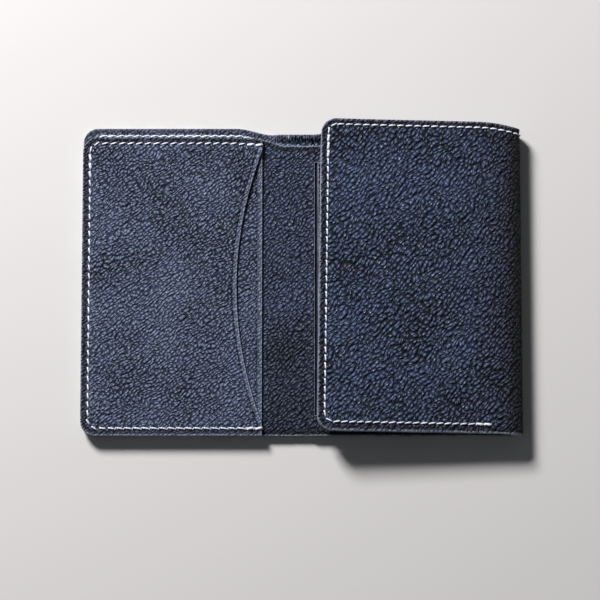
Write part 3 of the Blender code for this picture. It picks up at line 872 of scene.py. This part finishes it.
def sew(name, rows):
    """Stitches along rows, joined into one piece.

    A row is (places, level, side, slant, size): side is 1 on the inner faces and -1 on the
    outer one, slant turns a stitch off the row, and size is its length, width and height.
    """
    copies = []
    for places, level, side, slant, size in rows:
        for u, v, direction in places:
            angle = direction + math.radians(slant(u, v) + 2.5 * noise.noise(Vector((u, v, level))))
            rise = level(u, v) if callable(level) else level
            copy = stitch.copy()
            copy.data = stitch.data.copy()
            bpy.context.scene.collection.objects.link(copy)
            for vertex in copy.data.vertices:
                along, across, up = (part * scale for part, scale in zip(vertex.co, size))
                vertex.co = lay(u + along * math.cos(angle) - across * math.sin(angle),
                                v + along * math.sin(angle) + across * math.cos(angle),
                                rise + side * up)
            copies.append(copy)
    bpy.ops.object.select_all(action="DESELECT")
    for copy in copies:
        copy.select_set(True)
    bpy.context.view_layer.objects.active = copies[0]
    bpy.ops.object.join()
    seam = bpy.context.object
    seam.name = name
    seam.data.name = name
    bpy.ops.object.mode_set(mode="EDIT")
    bpy.ops.mesh.select_all(action="SELECT")
    bpy.ops.mesh.normals_make_consistent(inside=False)
    bpy.ops.object.mode_set(mode="OBJECT")
    return seam


def quarter(centre, start_degree, steps=6):
    """Points of a seam's quarter turn round a corner."""
    angles = [math.radians(start_degree + 90.0 * i / steps) for i in range(steps + 1)]
    return [(centre[0] + SEAM_CORNER * math.cos(angle), centre[1] + SEAM_CORNER * math.sin(angle))
            for angle in angles]


def along_top(start, end, top, inset):
    """Points of a top row, from start to end."""
    count = max(2, round(abs(end - start)))
    marks = [start + (end - start) * i / count for i in range(count + 1)]
    return [(u, top(u) - (inset(u) if callable(inset) else inset)) for u in marks]


def side_and_bottom(free_u, side, top_v, bottom_inset, far_u):
    """From the end of the top row round the corner, down the free edge and along the bottom."""
    seam_u = free_u + side * SIDE_SEAM_INSET
    corner_u = seam_u + side * SEAM_CORNER
    bottom = -HALF_HEIGHT + bottom_inset
    upper = quarter((corner_u, top_v - SEAM_CORNER), 90.0)
    lower = quarter((corner_u, bottom + SEAM_CORNER), 180.0)
    return [(corner_u + side * (u - corner_u), v) for u, v in upper + lower] + [(far_u, bottom)]


def slanted(top, side, bottom):
    """Degrees that the top, side and bottom stitches lean off their row."""
    def slant(u, v):
        if v > HALF_HEIGHT - 7.0:
            return top
        return bottom if v < -HALF_HEIGHT + BOTTOM_ROW_ZONE else side
    return slant


def between(places, lean):
    """Places half way between neighbouring stitches of a row."""
    return [((a[0] + b[0]) / 2, (a[1] + b[1]) / 2, a[2] + math.radians(lean))
            for a, b in zip(places[:-1], places[1:])]


PLAIN = (1.0, 1.0, 1.0)
LOOP = (0.50, 0.62, 0.70)
DOUBLED = (1.14, 1.6, 1.2)
OUTSIDE_SUNK = -COVER_THICKNESS + 0.48
left_top_path = along_top(STITCH_LEFT_END, TOP_ROW_START, pocket_top, POCKET_SEAM_INSET)
left_path = left_top_path[:-1] + side_and_bottom(0.0, 1.0, left_top_path[-1][1],
                                                 LEFT_BOTTOM_SEAM_INSET, STITCH_LEFT_END)
places = pace(left_path, STITCH_PITCH)
low_places = [place for place in places
              if place[1] < -HALF_HEIGHT + BOTTOM_ROW_ZONE and place[0] > 8.0]
# Both ends of the row, and a stretch high on the side, are sewn over twice.
thick = [places[0], places[1], places[-1], places[-2]]
thick += [place for place in places if 36.0 < place[1] < 44.5 and place[0] < 3.0]
single = [place for place in places if place not in thick]
level = FRONT_HIGH - POCKET_SINK + 0.12
lean = slanted(9, 6, -15)
seam = sew("stitches_left", [(single, level, 1.0, lean, PLAIN),
                             (thick, level, 1.0, slanted(2, 4, 4), DOUBLED),
                             (between(low_places, 48), level - 0.02, 1.0, slanted(0, 0, 0), LOOP)])
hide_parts("seam_thread_left")
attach(seam, "left_panel")

outside_top = cover_top(TOP_ROW_START) - top_inset(TOP_ROW_START)
outside_path = side_and_bottom(0.0, 1.0, outside_top, LEFT_BOTTOM_SEAM_INSET, STITCH_LEFT_END)
places = pace(outside_path, STITCH_PITCH)
seam = sew("stitches_left_outside", [(places, OUTSIDE_SUNK, -1.0, lean, PLAIN)])
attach(seam, "left_panel")

bottom = -HALF_HEIGHT + BOTTOM_SEAM_INSET
places = pace([(MIDDLE_CREASE + 5.0, bottom), (RIGHT_CREASE - FLAP_SEAM_STOP, bottom)], STITCH_PITCH)
seam = sew("stitches_middle", [(places, PANEL_HIGH + SLIP_RISE - 0.05, 1.0, lean, PLAIN),
                               (places, OUTSIDE_SUNK, -1.0, lean, PLAIN)])
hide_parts("seam_thread_middle")
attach(seam, "middle")

flap_top_path = along_top(FLAP_POCKET_START + 0.7, FLAP_END - TOP_ROW_START, pocket_top,
                          POCKET_SEAM_INSET)
flap_path = flap_top_path[:-1] + side_and_bottom(FLAP_END, -1.0, flap_top_path[-1][1],
                                                 BOTTOM_SEAM_INSET, FLAP_POCKET_START + 0.7)
lean = slanted(-9, -6, 9)
places = pace(flap_path, STITCH_PITCH)
seam = sew("stitches_flap_inside", [(places, BACK_HIGH - 0.2, 1.0, lean, PLAIN)])
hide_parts("seam_thread_flap_inside")
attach(seam, "flap")

flap_top = cover_top(FLAP_END - TOP_ROW_START) - top_inset(FLAP_END - TOP_ROW_START)
flap_out = side_and_bottom(FLAP_END, -1.0, flap_top, BOTTOM_SEAM_INSET, FLAP_CREASE + FLAP_SEAM_STOP)
places = pace(flap_out, FLAP_PITCH)
thick = [place for place in places if 38.0 < place[1] < 46.0 and place[0] > FLAP_END - 3.0]
thick = places[-2:] + thick
single = [place for place in places if place not in thick]
lean = slanted(-10, -13, -15)
seam = sew("stitches_flap_outside", [(single, FLAP_OUTSIDE_SUNK, -1.0, lean, PLAIN),
                                     (thick, FLAP_OUTSIDE_SUNK, -1.0, slanted(0, -3, -3), DOUBLED)])
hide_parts("seam_thread_flap_outside")
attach(seam, "flap")

top_names = ("top_stitches_left", "top_stitches_spine", "top_stitches_middle", "top_stitches_flap")
top_nodes = (("top_seam_thread_left",), ("top_seam_thread_left_fold",), ("top_seam_thread_middle",),
             ("top_seam_thread_right_fold", "top_seam_thread_flap_inside"))
top_path = along_top(TOP_ROW_START, FLAP_END - TOP_ROW_START, cover_top, top_inset)
top_places = pace(top_path, STITCH_PITCH)
for span, (start, end, _) in enumerate(SPANS):
    places = [place for place in top_places if start + 0.2 < place[0] < end - 0.2
              and not POCKET_EDGE < place[0] < MIDDLE_CREASE + 5.0]
    sunk = OUTSIDE_SUNK if span < 3 else FLAP_OUTSIDE_SUNK
    rows = [(places, LINING_HIGH - 0.02, 1.0, slanted(6, 6, 6), PLAIN),
            (places, sunk, -1.0, slanted(-8, -8, -8), PLAIN)]
    if span == 0:
        rows.append((between(places, -36), LINING_HIGH - 0.03, 1.0, slanted(0, 0, 0), LOOP))
    seam = sew(top_names[span], rows)
    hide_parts(*top_nodes[span])
    bends(seam, span)
bpy.data.objects.remove(stitch)
